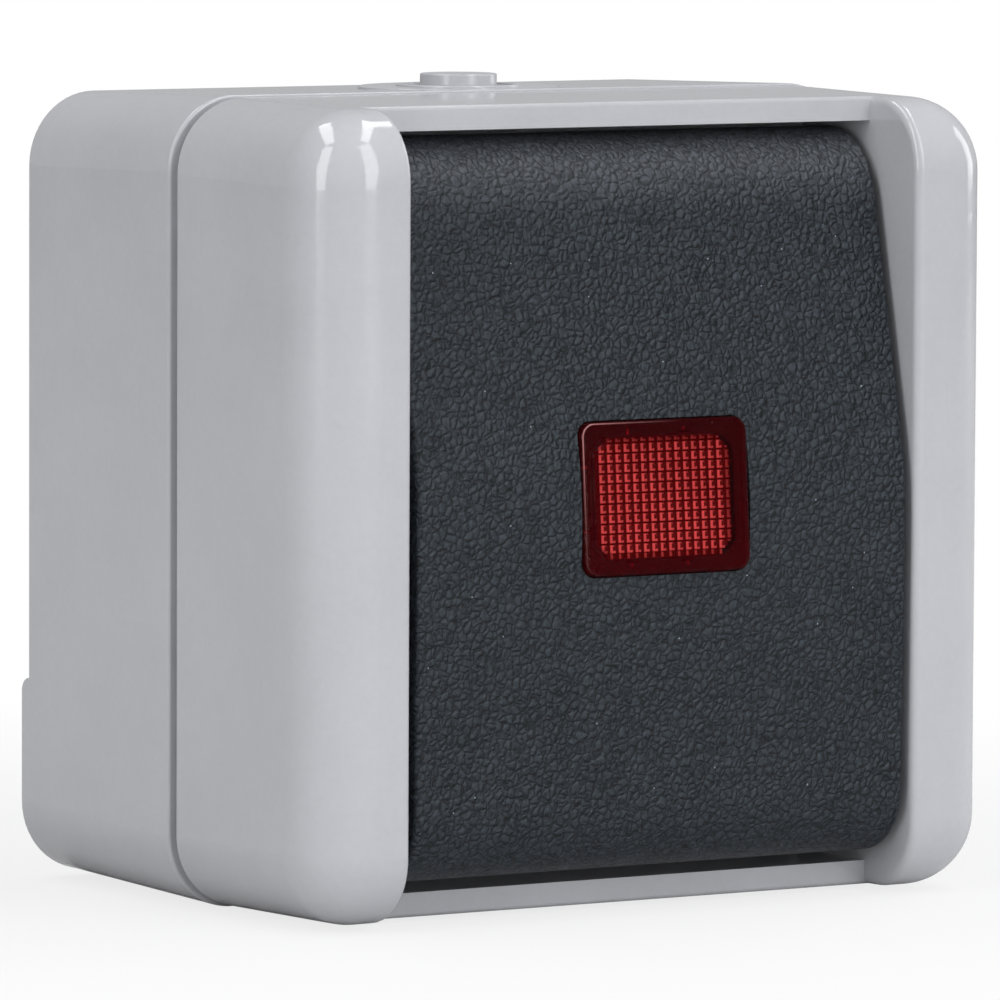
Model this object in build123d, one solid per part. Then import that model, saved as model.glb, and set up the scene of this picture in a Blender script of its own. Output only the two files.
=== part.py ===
from build123d import *
import os

# Surface-mounted pushbutton switch. All sizes are in millimetres.
# Every piece is modelled lying on its back: X runs to the right, Y up the wall and Z out of the wall,
# with the wall at Z = 0. stand_up() then turns it, so that Z is up and the front faces -Y.

# Rear box
BACK_SIZE = 74.9
RIM_SIZE = 76.1
CORNER_RADIUS = 7.0
WALL = 2.0
FOOT_DEPTH = 1.4
FOOT_TOP = -18.6
RIM_DEPTH = 28.75
FLOOR_DEPTH = 3.6
RIM_ROUNDING = 0.3
SEAM_GAP = 1.05
SEAL_INSET = 0.7

# Front frame
SEAM_WIDTH = 75.7
SEAM_HEIGHT = 75.7
SEAM_ROUNDING = 0.25
BAR_ROUNDING = 0.4
FACE_WIDTH = 75.7
FACE_HEIGHT = 74.9
BAR_DEPTH = 47.45
CHEEK_DEPTH = 55.6
CHEEK_ROUNDING = 6.6
CHEEK_INNER_ROUNDING = 0.8
OPENING_HALF_WIDTH = 27.9
WELL_HALF_HEIGHT = 35.27
DECK_BOTTOM = 34.0
DECK_TOP = 36.0
TONGUE_LENGTH = 2.8
TONGUE_THICKNESS = 1.2
TONGUE_CORNER = 4.8
TONGUE_HALF = 35.7

# Push plate, in the plane of Y and Z
PLATE_HALF_WIDTH = 27.1
PLATE_BOTTOM = -34.0
PLATE_TOP = 34.6
PLATE_SKIRT_DEPTH = 42.0
PLATE_RIDGE_Y = 2.3
PLATE_RIDGE_DEPTH = 55.39
LOWER_SLOPE = 0.015
UPPER_SLOPE = 0.2104
PLATE_ROUNDINGS = [6.5, 40.0, 7.5]
PLATE_WALL = 2.1

# Hinge of the push plate
PIVOT_DEPTH = 41.5
PIN_RADIUS = 1.5
PIN_CLEARANCE = 0.05
HINGE_X = 20.25
HINGE_RIB = 2.9
HINGE_GAP = 0.3
LUG_THICKNESS = 2.4
LUG_RADIUS = 2.9

# Window lens, tilted with the ridge of the plate
LENS_WIDTH = 18.4
LENS_HEIGHT = 14.35
LENS_CORNER = 1.4
LENS_THICKNESS = 1.6
LENS_CENTRE_Y = 1.2
LENS_DEPTH = 55.4
LENS_TILT = 4.24
LENS_CLEARANCE = 0.12
WINDOW_WIDTH = 15.4
WINDOW_HEIGHT = 12.4
PRISM_PITCH = 0.95
PRISM_COLUMNS = 15
PRISM_ROWS = 12
PRISM_PAD = 0.7
PRISM_CORNER = 1.6
LEG_HALF_WIDTH = 0.7
HOOK_REACH = 0.3
HOOK_LENGTH = 0.6
UPRIGHT_LEGS_AT = [(3.1, 1), (3.1, -1), (-3.1, -1)]
SIDE_LEGS_Y = (-3.0, 3.0)

# Cable grommet in the top wall
ENTRY_DEPTH = 18.5
STUB_RADIUS = 3.68
STUB_TOP = 39.2
FLANGE_RADIUS = 9.6
FLANGE_SEAT = 37.5
FLANGE_TOP = 37.98
RIDGE_RADII = (5.3, 6.0)
RIDGE_TOP = 38.18
ENTRY_HOLE_RADIUS = 7.5

# Fixings
WALL_HOLE_X = 28.0
WALL_HOLE_Y = 24.0
WALL_HOLE_RADIUS = 2.25
SEAT_RADIUS = 4.5
SEAT_TOP = 6.1
FRAME_SCREWS_AT = [(-21.0, 30.4), (21.0, -30.4)]
FRAME_POST_RADIUS = 3.4
FRAME_POST_TOP = 29.0
CARRIER_SCREWS_AT = [(-27.5, 0.0), (27.5, 0.0)]
CARRIER_POST_RADIUS = 3.6
SCREW_CORE_RADIUS = 1.25
SCREW_SHANK_RADIUS = 1.24
SCREW_HOLE_RADIUS = 1.7
SCREW_HEAD_RADIUS = 2.7
SCREW_HEAD_HEIGHT = 1.8

# Insert
CARRIER_BOTTOM = 22.0
CARRIER_THICKNESS = 1.2
COVER_TOP = 28.2
COVER_SKIN = 2.0
INSERT_HALF_WIDTH = 22.0
INSERT_LOW = -25.0
INSERT_HIGH = 20.0
INSERT_BACK = 7.0
INSERT_FLOOR = 9.0
CHAMBER_HALF_WIDTH = 18.5
RIVET_X = 20.2
RIVET_RADIUS = 1.1
TERMINAL_X = [-13.6, -4.6, 4.6, 13.6]
TERMINAL_Y = 13.2
CHAMBER_WIDTH = 7.8
CHAMBER_LENGTH = 9.2
STRIP_BOTTOM = 12.9
STRIP_THICKNESS = 0.8
STRIP_WIDTH = 4.0

# Plunger and contacts
PLUNGER_Y = -18.0
PLUNGER_RADIUS = 2.0
PLUNGER_TOP = 39.95
TAPPET_TIP_RADIUS = 1.5
TAPPET_HALF_WIDTH = 3.0
NECK_RADIUS = 1.0
BRIDGE_BOTTOM = 16.6
BRIDGE_THICKNESS = 0.8
STUD_X = 5.0
STUD_RADIUS = 1.2
STUD_TOP = 14.6
BRIDGE_STUD_HEIGHT = 0.4
SPRING_RADIUS = 2.1
SPRING_WIRE_RADIUS = 0.25
SPRING_TURNS = 5

# Terminals
CLAMP_HALF_WIDTH = 3.5
CLAMP_HALF_LENGTH = 3.4
CLAMP_HEIGHT = 9.4
CLAMP_WALL = 1.1
CLAMP_FLOOR = 1.2
CLAMP_ROOF = 2.0
CLAMP_SCREW_RADIUS = 1.5
EARTH_X = (-33.0, -25.6)
EARTH_Y = (-17.0, -8.0)
EARTH_HEIGHT = 7.0
EARTH_SCREWS_Y = (-14.8, -10.2)
EARTH_SCREW_RADIUS = 1.3
EARTH_WIRE_RADIUS = 1.7

# Splash membrane
MEMBRANE_HALF_WIDTH = 24.0
MEMBRANE_Y = (-26.0, 14.0)

# Lamp
LAMP_Y = 1.0
LAMP_RADIUS = 2.9
LAMP_BASE = 38.0
LAMP_TOP = 47.0
LEAD_X = 1.1
LEAD_RADIUS = 0.3
LEAD_CROSSING = 17.0
TOWER_HALF = 4.0
RESISTOR_RADIUS = 1.2
RESISTOR_SPAN = (-10.6, -4.6)


def block(x0, x1, y0, y1, z0, z1):
    return Pos((x0 + x1) / 2, (y0 + y1) / 2, (z0 + z1) / 2) * Box(x1 - x0, y1 - y0, z1 - z0)


def rod(x, y, z0, z1, radius):
    return Pos(x, y, (z0 + z1) / 2) * Cylinder(radius, z1 - z0)


def rod_along_x(x0, x1, y, z, radius):
    return Pos((x0 + x1) / 2, y, z) * Rot(0, 90, 0) * Cylinder(radius, x1 - x0)


def rod_along_y(x, y0, y1, z, radius):
    return Pos(x, (y0 + y1) / 2, z) * Rot(90, 0, 0) * Cylinder(radius, y1 - y0)


def drafted_block(width0, height0, width1, height1, radius, z0, z1):
    near = Pos(0, 0, z0) * RectangleRounded(width0, height0, radius)
    far = Pos(0, 0, z1) * RectangleRounded(width1, height1, radius)
    return loft([near, far], ruled=True)


def countersunk_slot(x, y, top, radius):
    return block(x - radius, x + radius, y - 0.4, y + 0.4, top - 0.7, top)


def slotted_screw(x, y, seat, tip, head_radius, head_height, shank_radius):
    head = rod(x, y, seat, seat + head_height, head_radius)
    rim = head.edges().filter_by(GeomType.CIRCLE).group_by(Axis.Z)[-1]
    head = fillet(rim, 0.45)
    shank = rod(x, y, tip, seat, shank_radius)
    return head + shank - countersunk_slot(x, y, seat + head_height, head_radius)


def stand_up(shape):
    return Rot(90, 0, 0) * shape


def wall_hole_places():
    return [(x, y) for x in (-WALL_HOLE_X, WALL_HOLE_X) for y in (-WALL_HOLE_Y, WALL_HOLE_Y)]


def foot():
    slab = extrude(RectangleRounded(BACK_SIZE, BACK_SIZE, CORNER_RADIUS), FOOT_DEPTH)
    lower = block(-BACK_SIZE, BACK_SIZE, -BACK_SIZE, FOOT_TOP, 0, FOOT_DEPTH)
    shoulder = lower.edges().filter_by(Axis.X).group_by(Axis.Y)[-1].group_by(Axis.Z)[0]
    return slab & fillet(shoulder, FOOT_DEPTH - 0.05)


def rear_box():
    outer = drafted_block(BACK_SIZE, BACK_SIZE, RIM_SIZE, RIM_SIZE, CORNER_RADIUS, FOOT_DEPTH, RIM_DEPTH)
    outer = fillet(outer.faces().sort_by(Axis.Z)[-1].outer_wire().edges(), RIM_ROUNDING)
    draft = (RIM_SIZE - BACK_SIZE) / (RIM_DEPTH - FOOT_DEPTH)
    floor_size = BACK_SIZE + draft * (FLOOR_DEPTH - FOOT_DEPTH) - 2 * WALL
    mouth_size = RIM_SIZE - 2 * WALL
    cavity = drafted_block(floor_size, floor_size, mouth_size, mouth_size, CORNER_RADIUS - WALL,
                           FLOOR_DEPTH, RIM_DEPTH)
    body = outer + foot() - cavity
    for x, y in wall_hole_places():
        body += rod(x, y, FLOOR_DEPTH - 0.5, SEAT_TOP, SEAT_RADIUS)
        if y > 0:
            body += rod(x, y, 0, FOOT_DEPTH + 0.5, SEAT_RADIUS + 1.5)
    for x, y in FRAME_SCREWS_AT:
        body += rod(x, y, FLOOR_DEPTH - 0.5, FRAME_POST_TOP, FRAME_POST_RADIUS)
    for x, y in CARRIER_SCREWS_AT:
        body += rod(x, y, FLOOR_DEPTH - 0.5, CARRIER_BOTTOM, CARRIER_POST_RADIUS)
    for x, y in wall_hole_places():
        body -= rod(x, y, -1, SEAT_TOP + 1, WALL_HOLE_RADIUS)
    for x, y in FRAME_SCREWS_AT:
        body -= rod(x, y, FRAME_POST_TOP - 11, FRAME_POST_TOP, SCREW_CORE_RADIUS)
    for x, y in CARRIER_SCREWS_AT:
        body -= rod(x, y, CARRIER_BOTTOM - 9, CARRIER_BOTTOM, SCREW_CORE_RADIUS)
    body -= rod_along_y(0, BACK_SIZE / 2 - 3, BACK_SIZE / 2 + 3, ENTRY_DEPTH, ENTRY_HOLE_RADIUS)
    body -= rod_along_y(0, FLANGE_SEAT, FLANGE_SEAT + 2, ENTRY_DEPTH, FLANGE_RADIUS + 0.1)
    return body - knock_out_groove()


def knock_out_groove():
    low = -BACK_SIZE / 2
    ring = rod_along_y(0, low - 2, low + 0.6, ENTRY_DEPTH, ENTRY_HOLE_RADIUS + 0.8)
    return ring - rod_along_y(0, low - 3, low + 1, ENTRY_DEPTH, ENTRY_HOLE_RADIUS)


def box_seal():
    outer_size = SEAM_WIDTH - 2 * SEAL_INSET
    inner_size = 2 * TONGUE_HALF + 0.2
    outer = Pos(0, 0, RIM_DEPTH) * RectangleRounded(outer_size, outer_size, CORNER_RADIUS - SEAL_INSET)
    inner = Pos(0, 0, RIM_DEPTH) * RectangleRounded(inner_size, inner_size, CORNER_RADIUS - WALL)
    return extrude(outer - inner, SEAM_GAP)


def frame_shell():
    back = RIM_DEPTH + SEAM_GAP
    shell = drafted_block(SEAM_WIDTH, SEAM_HEIGHT, FACE_WIDTH, FACE_HEIGHT, CORNER_RADIUS, back, CHEEK_DEPTH)
    front_edges = shell.faces().sort_by(Axis.Z)[-1].outer_wire().edges()
    shell = fillet(front_edges, CHEEK_ROUNDING)
    shell = fillet(shell.faces().sort_by(Axis.Z)[0].outer_wire().edges(), SEAM_ROUNDING)
    half = OPENING_HALF_WIDTH
    shell -= block(-half, half, -SEAM_HEIGHT, SEAM_HEIGHT, BAR_DEPTH, CHEEK_DEPTH + 5)
    return shell


def bar_edges(shell):
    along = shell.edges().filter_by(Axis.X)
    return [edge for edge in along if abs(edge.center().Z - BAR_DEPTH) < 0.01 and abs(edge.center().Y) > 36.5]


def cheek_inner_edges(shell):
    edges = []
    for edge in shell.edges():
        centre = edge.center()
        at_opening = abs(abs(centre.X) - OPENING_HALF_WIDTH) < 0.01
        if at_opening and centre.Z > BAR_DEPTH + 0.5 and edge.bounding_box().size.X < 0.01:
            edges.append(edge)
    return edges


def front_frame():
    back = RIM_DEPTH + SEAM_GAP
    shell = frame_shell()
    shell = fillet(cheek_inner_edges(shell), CHEEK_INNER_ROUNDING)
    shell = fillet(bar_edges(shell), BAR_ROUNDING)
    half = OPENING_HALF_WIDTH
    well = WELL_HALF_HEIGHT
    shell -= block(-half, half, -well, well, DECK_TOP, CHEEK_DEPTH + 5)
    shell -= drafted_block(SEAM_WIDTH - 2 * WALL - 0.6, SEAM_HEIGHT - 2 * WALL - 1.6,
                           SEAM_WIDTH - 2 * WALL - 0.7, SEAM_HEIGHT - 2 * WALL - 1.7,
                           CORNER_RADIUS - WALL, back, DECK_BOTTOM)
    for side in (-1, 1):
        inner_x = side * (half + WALL)
        outer_x = side * (SEAM_WIDTH / 2 - WALL - 0.3)
        low_x = min(inner_x, outer_x)
        high_x = max(inner_x, outer_x)
        shell -= block(low_x, high_x, -well + 2.5, well - 2.5, DECK_BOTTOM - 1, CHEEK_DEPTH - 4.1)
    ring_half = TONGUE_HALF - TONGUE_THICKNESS
    ring_start = back - TONGUE_LENGTH
    ring_outer = Pos(0, 0, ring_start) * RectangleRounded(2 * TONGUE_HALF, 2 * TONGUE_HALF, TONGUE_CORNER)
    ring_inner = Pos(0, 0, ring_start) * RectangleRounded(2 * ring_half, 2 * ring_half,
                                                          TONGUE_CORNER - TONGUE_THICKNESS)
    shell += extrude(ring_outer - ring_inner, TONGUE_LENGTH + 1.5)
    for x, y in FRAME_SCREWS_AT:
        shell += rod(x, y, FRAME_POST_TOP, DECK_BOTTOM + 0.5, FRAME_POST_RADIUS)
    for x, y in FRAME_SCREWS_AT:
        shell -= rod(x, y, FRAME_POST_TOP - 1, DECK_TOP + 1, SCREW_HOLE_RADIUS)
    window = TOWER_HALF + 1.5
    shell -= block(-window, window, LAMP_Y - window, LAMP_Y + window, DECK_BOTTOM - 1, DECK_TOP + 1)
    shell -= rod(0, PLUNGER_Y, DECK_BOTTOM - 1, DECK_TOP + 1, PLUNGER_RADIUS + 1.4)
    for x in hinge_lug_places():
        shell += hinge_lug(x)
    return shell


def hinge_lug_places():
    offset = HINGE_RIB / 2 + HINGE_GAP + LUG_THICKNESS / 2
    return [side * (HINGE_X + step * offset) for side in (-1, 1) for step in (-1, 1)]


def hinge_lug(x):
    half = LUG_THICKNESS / 2
    lug = block(x - half, x + half, -LUG_RADIUS, LUG_RADIUS, DECK_TOP - 0.5, PIVOT_DEPTH)
    lug += rod_along_x(x - half, x + half, 0, PIVOT_DEPTH, LUG_RADIUS)
    return lug - rod_along_x(x - half - 1, x + half + 1, 0, PIVOT_DEPTH, PIN_RADIUS)


def hinge_pins():
    reach = HINGE_RIB / 2 + HINGE_GAP + LUG_THICKNESS
    pins = []
    for side in (-1, 1):
        centre = side * HINGE_X
        pins.append(rod_along_x(centre - reach, centre + reach, 0, PIVOT_DEPTH, PIN_RADIUS))
    return Compound(pins)


def plate_profile(inset):
    bottom = PLATE_BOTTOM + inset
    top = PLATE_TOP - inset
    ridge = PLATE_RIDGE_DEPTH - inset
    lower_corner = ridge - LOWER_SLOPE * (PLATE_RIDGE_Y - bottom)
    upper_corner = ridge - UPPER_SLOPE * (top - PLATE_RIDGE_Y)
    back = PLATE_SKIRT_DEPTH - 3 * inset
    points = [(bottom, back), (bottom, lower_corner), (PLATE_RIDGE_Y, ridge), (top, upper_corner), (top, back)]
    radii = [radius - inset if radius < 20 else radius for radius in PLATE_ROUNDINGS]
    outline = FilletPolyline(*points, radius=radii) + Line(points[-1], points[0])
    return make_face(outline)


def plate_block(half_width, inset):
    # The profile lies in X and Y of its sketch and is stood up so that they become Y and Z.
    profile = Plane(origin=(-half_width, 0, 0), x_dir=(0, 1, 0), z_dir=(1, 0, 0)) * plate_profile(inset)
    return extrude(profile, 2 * half_width)


def lens_frame():
    return Pos(0, LENS_CENTRE_Y, LENS_DEPTH) * Rot(-LENS_TILT, 0, 0)


def push_plate():
    solid = plate_block(PLATE_HALF_WIDTH, 0)
    rims = []
    for edge in solid.edges():
        centre = edge.center()
        on_side = abs(abs(centre.X) - PLATE_HALF_WIDTH) < 0.01
        if on_side and centre.Z > PLATE_SKIRT_DEPTH + 0.5:
            rims.append(edge)
    solid = fillet(rims, 0.5)
    solid -= plate_block(PLATE_HALF_WIDTH - PLATE_WALL, PLATE_WALL)
    skin_inside = PLATE_RIDGE_DEPTH - PLATE_WALL
    for side in (-1, 1):
        rib_low = side * HINGE_X - HINGE_RIB / 2
        rib_high = side * HINGE_X + HINGE_RIB / 2
        rib = block(rib_low, rib_high, -LUG_RADIUS, LUG_RADIUS, PIVOT_DEPTH, skin_inside + 0.3)
        rib += rod_along_x(rib_low, rib_high, 0, PIVOT_DEPTH, LUG_RADIUS)
        solid += rib
        solid += stiffener(side * 12.5) & plate_block(PLATE_HALF_WIDTH, 0.5)
    tappet = block(-TAPPET_HALF_WIDTH, TAPPET_HALF_WIDTH, PLUNGER_Y - TAPPET_TIP_RADIUS, PLUNGER_Y + TAPPET_TIP_RADIUS,
                   PLUNGER_TOP + 0.05 + TAPPET_TIP_RADIUS, skin_inside + 0.3)
    tappet += rod_along_x(-TAPPET_HALF_WIDTH, TAPPET_HALF_WIDTH, PLUNGER_Y,
                          PLUNGER_TOP + 0.05 + TAPPET_TIP_RADIUS, TAPPET_TIP_RADIUS)
    solid += tappet
    for side in (-1, 1):
        reach = HINGE_RIB / 2 + 1
        solid -= rod_along_x(side * HINGE_X - reach, side * HINGE_X + reach, 0, PIVOT_DEPTH,
                             PIN_RADIUS + PIN_CLEARANCE)
    pocket = extrude(RectangleRounded(LENS_WIDTH + 2 * LENS_CLEARANCE, LENS_HEIGHT + 2 * LENS_CLEARANCE,
                                      LENS_CORNER + LENS_CLEARANCE), LENS_THICKNESS + 2)
    window = extrude(RectangleRounded(WINDOW_WIDTH, WINDOW_HEIGHT, 0.6), 6)
    solid -= lens_frame() * Pos(0, 0, -LENS_THICKNESS) * pocket
    solid -= lens_frame() * Pos(0, 0, -5) * window
    return solid


def stiffener(x):
    return block(x - 0.6, x + 0.6, PLATE_BOTTOM + 1, PLATE_TOP - 1, PLATE_RIDGE_DEPTH - 9, PLATE_RIDGE_DEPTH)


def window_lens():
    slab = extrude(RectangleRounded(LENS_WIDTH, LENS_HEIGHT, LENS_CORNER), -LENS_THICKNESS)
    slab = fillet(slab.faces().sort_by(Axis.Z)[-1].outer_wire().edges(), 0.45)
    slab += prism_pad()
    for x, side in UPRIGHT_LEGS_AT:
        slab += snap_leg(x, side * (WINDOW_HEIGHT / 2 - 0.06), 0.38, side, True)
    for side in (-1, 1):
        for y in SIDE_LEGS_Y:
            slab += snap_leg(side * (WINDOW_WIDTH / 2 - 0.06), y, 0.45, side, False)
    return lens_frame() * slab


def snap_leg(x, y, thickness, side, across):
    top = -LENS_THICKNESS + 0.2
    hook_top = -PLATE_WALL - 1.0
    tip = hook_top - HOOK_LENGTH
    half = LEG_HALF_WIDTH
    place = y if across else x
    inner = place - side * thickness
    outer = place + side * HOOK_REACH
    leg_span = sorted((place, inner))
    hook_span = sorted((inner, outer))
    if across:
        leg = block(x - half, x + half, *leg_span, tip, top)
        return leg + block(x - half, x + half, *hook_span, tip, hook_top)
    leg = block(*leg_span, y - half, y + half, tip, top)
    return leg + block(*hook_span, y - half, y + half, tip, hook_top)


def prism_pad():
    width = PRISM_COLUMNS * PRISM_PITCH
    height = PRISM_ROWS * PRISM_PITCH
    pad = extrude(Rectangle(width, height), -PRISM_PAD)
    upright = pad.edges().filter_by(Axis.Z)
    pad = Pos(0, 0, -LENS_THICKNESS) * chamfer(upright, PRISM_CORNER)
    back = -LENS_THICKNESS - PRISM_PAD
    depth = PRISM_PITCH / 2
    for column in range(PRISM_COLUMNS + 1):
        x = -width / 2 + column * PRISM_PITCH
        groove = Plane.XZ * Polygon((x - depth, back), (x, back + depth), (x + depth, back), align=None)
        pad -= extrude(groove, height, both=True)
    for row in range(PRISM_ROWS + 1):
        y = -height / 2 + row * PRISM_PITCH
        groove = Plane.YZ * Polygon((y - depth, back), (y, back + depth), (y + depth, back), align=None)
        pad -= extrude(groove, width, both=True)
    return pad


def cable_grommet():
    inner_wall = RIM_SIZE / 2 - WALL - 0.3
    body = rod_along_y(0, inner_wall - 0.5, FLANGE_SEAT + 0.1, ENTRY_DEPTH, ENTRY_HOLE_RADIUS)
    flange = rod_along_y(0, FLANGE_SEAT, FLANGE_TOP, ENTRY_DEPTH, FLANGE_RADIUS)
    rim = flange.edges().filter_by(GeomType.CIRCLE).group_by(Axis.Y)[-1]
    body += fillet(rim, 0.2)
    ridge = rod_along_y(0, FLANGE_TOP - 0.2, RIDGE_TOP, ENTRY_DEPTH, RIDGE_RADII[1])
    ridge -= rod_along_y(0, FLANGE_TOP - 1, RIDGE_TOP + 1, ENTRY_DEPTH, RIDGE_RADII[0])
    body += fillet(ridge.edges().filter_by(GeomType.CIRCLE).group_by(Axis.Y)[-1], 0.12)
    body += rod_along_y(0, inner_wall - 1.4, inner_wall - 0.2, ENTRY_DEPTH, ENTRY_HOLE_RADIUS + 0.7)
    stub = rod_along_y(0, FLANGE_TOP - 0.2, STUB_TOP, ENTRY_DEPTH, STUB_RADIUS)
    rim = stub.edges().filter_by(GeomType.CIRCLE).group_by(Axis.Y)[-1]
    body += fillet(rim, 0.15)
    return body - rod_along_y(0, inner_wall - 2, STUB_TOP - 0.7, ENTRY_DEPTH, STUB_RADIUS - 0.8)


def frame_screws():
    tip = FRAME_POST_TOP - 10
    screws = [slotted_screw(x, y, DECK_TOP, tip, SCREW_HEAD_RADIUS, SCREW_HEAD_HEIGHT, SCREW_SHANK_RADIUS)
              for x, y in FRAME_SCREWS_AT]
    return Compound(screws)


def carrier_screws():
    seat = CARRIER_BOTTOM + CARRIER_THICKNESS
    tip = CARRIER_BOTTOM - 8
    screws = [slotted_screw(x, y, seat, tip, SCREW_HEAD_RADIUS, SCREW_HEAD_HEIGHT, SCREW_SHANK_RADIUS)
              for x, y in CARRIER_SCREWS_AT]
    return Compound(screws)


def wall_seal_washers():
    washers = []
    for x, y in wall_hole_places():
        ring = rod(x, y, SEAT_TOP, SEAT_TOP + 1, SEAT_RADIUS - 0.1)
        washers.append(ring - rod(x, y, SEAT_TOP - 1, SEAT_TOP + 2, WALL_HOLE_RADIUS + 0.15))
    return Compound(washers)


def carrier_plate():
    top = CARRIER_BOTTOM + CARRIER_THICKNESS
    middle_y = (INSERT_LOW + INSERT_HIGH) / 2
    body = Pos(0, middle_y, CARRIER_BOTTOM) * RectangleRounded(2 * INSERT_HALF_WIDTH + 2, 47, 2)
    plate = extrude(body, CARRIER_THICKNESS)
    ears = Pos(0, 0, CARRIER_BOTTOM) * RectangleRounded(63, 9, 3)
    plate += extrude(ears, CARRIER_THICKNESS)
    plate -= block(-CHAMBER_HALF_WIDTH, CHAMBER_HALF_WIDTH, INSERT_LOW + 1.6, INSERT_HIGH - 1.6,
                   CARRIER_BOTTOM - 1, top + 1)
    for x, y in CARRIER_SCREWS_AT:
        plate -= rod(x, y, CARRIER_BOTTOM - 1, top + 1, SCREW_HOLE_RADIUS)
    for x in (-RIVET_X, RIVET_X):
        plate -= rod(x, 0, CARRIER_BOTTOM - 1, top + 1, RIVET_RADIUS)
    return plate


def strip_places():
    return [(-TERMINAL_X[2], PLUNGER_Y - 3), (TERMINAL_X[2], PLUNGER_Y - 3),
            (TERMINAL_X[0], LAMP_Y - 3), (TERMINAL_X[3], LAMP_Y - 3)]


def insert_base():
    base = block(-INSERT_HALF_WIDTH, INSERT_HALF_WIDTH, INSERT_LOW, INSERT_HIGH, INSERT_BACK, CARRIER_BOTTOM)
    base = fillet(base.edges().filter_by(Axis.Z), 1.5)
    wall = 1.6
    chambers_low = TERMINAL_Y - CHAMBER_LENGTH / 2
    base -= block(-CHAMBER_HALF_WIDTH, CHAMBER_HALF_WIDTH, INSERT_LOW + wall, chambers_low - wall,
                  INSERT_FLOOR, CARRIER_BOTTOM + 1)
    for x in TERMINAL_X:
        half = CHAMBER_WIDTH / 2
        base -= block(x - half, x + half, chambers_low, TERMINAL_Y + CHAMBER_LENGTH / 2,
                      INSERT_FLOOR, CARRIER_BOTTOM + 1)
        base -= block(x - STRIP_WIDTH / 2 - 0.05, x + STRIP_WIDTH / 2 + 0.05, chambers_low - wall - 1,
                      chambers_low + 1, STRIP_BOTTOM, CARRIER_BOTTOM + 1)
        base -= rod_along_y(x, INSERT_HIGH - 4, INSERT_HIGH + 1, STRIP_BOTTOM + STRIP_THICKNESS + 1.2, 2.0)
    for x, y in strip_places():
        half = STRIP_WIDTH / 2
        base += block(x - half, x + half, y, chambers_low - wall + 0.2, INSERT_FLOOR - 0.5, STRIP_BOTTOM)
    for x in (-RIVET_X, RIVET_X):
        base -= rod(x, 0, INSERT_BACK - 1, CARRIER_BOTTOM + 1, RIVET_RADIUS)
    return base


def insert_cover():
    low = CARRIER_BOTTOM + CARRIER_THICKNESS
    cover = block(-INSERT_HALF_WIDTH, INSERT_HALF_WIDTH, INSERT_LOW, INSERT_HIGH, low, COVER_TOP)
    cover = fillet(cover.edges().filter_by(Axis.Z), 1.5)
    cover -= block(-CHAMBER_HALF_WIDTH, CHAMBER_HALF_WIDTH, INSERT_LOW + 1.6, INSERT_HIGH - 1.6,
                   low - 1, COVER_TOP - COVER_SKIN)
    cover += rod(0, PLUNGER_Y, low, COVER_TOP + 0.8, PLUNGER_RADIUS + 2)
    cover -= rod(0, PLUNGER_Y, low - 1, COVER_TOP + 2, PLUNGER_RADIUS + PIN_CLEARANCE)
    for x in TERMINAL_X:
        cover -= rod(x, TERMINAL_Y, low - 1, COVER_TOP + 1, 2.8)
    for x in (-LEAD_X, LEAD_X):
        cover -= rod(x, LAMP_Y, low - 1, COVER_TOP + 1, 0.8)
    for x in (-RIVET_X, RIVET_X):
        cover -= rod(x, 0, low - 1, COVER_TOP + 1, RIVET_RADIUS)
    return cover


def insert_rivets():
    rivets = []
    for x in (-RIVET_X, RIVET_X):
        rivet = rod(x, 0, INSERT_BACK - 0.4, COVER_TOP + 0.4, RIVET_RADIUS)
        rivet += rod(x, 0, COVER_TOP, COVER_TOP + 0.4, 1.7)
        rivet += rod(x, 0, INSERT_BACK - 0.4, INSERT_BACK, 1.7)
        rivets.append(rivet - rod(x, 0, INSERT_BACK - 1, COVER_TOP + 1, 0.6))
    return Compound(rivets)


def contact_strip(x, y):
    half = STRIP_WIDTH / 2
    top = STRIP_BOTTOM + STRIP_THICKNESS
    return block(x - half, x + half, y, TERMINAL_Y + 3.6, STRIP_BOTTOM, top)


def plunger_contact(side):
    x, y = strip_places()[0 if side < 0 else 1]
    strip = contact_strip(x, y)
    return strip + rod(side * STUD_X, PLUNGER_Y, STRIP_BOTTOM + 0.2, STUD_TOP, STUD_RADIUS)


def lamp_contact(side):
    x, y = strip_places()[2 if side < 0 else 3]
    return contact_strip(x, y)


def contact_bridge():
    top = BRIDGE_BOTTOM + BRIDGE_THICKNESS
    bar = block(-STUD_X - 1.6, STUD_X + 1.6, PLUNGER_Y - 1.9, PLUNGER_Y + 1.9, BRIDGE_BOTTOM, top)
    bar = fillet(bar.edges().filter_by(Axis.Z), 1.2)
    for x in (-STUD_X, STUD_X):
        bar += rod(x, PLUNGER_Y, BRIDGE_BOTTOM - BRIDGE_STUD_HEIGHT, BRIDGE_BOTTOM + 0.2, STUD_RADIUS)
    return bar - rod(0, PLUNGER_Y, BRIDGE_BOTTOM - 1, top + 1, NECK_RADIUS)


def plunger():
    shoulder = BRIDGE_BOTTOM + BRIDGE_THICKNESS
    stem = rod(0, PLUNGER_Y, shoulder, PLUNGER_TOP, PLUNGER_RADIUS)
    stem += rod(0, PLUNGER_Y, PLUNGER_TOP - 1.5, PLUNGER_TOP, PLUNGER_RADIUS + 0.7)
    stem += rod(0, PLUNGER_Y, CARRIER_BOTTOM - 1, CARRIER_BOTTOM + CARRIER_THICKNESS - 0.1, PLUNGER_RADIUS + 1.2)
    stem += rod(0, PLUNGER_Y, BRIDGE_BOTTOM - 3, shoulder, NECK_RADIUS)
    return stem


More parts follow.
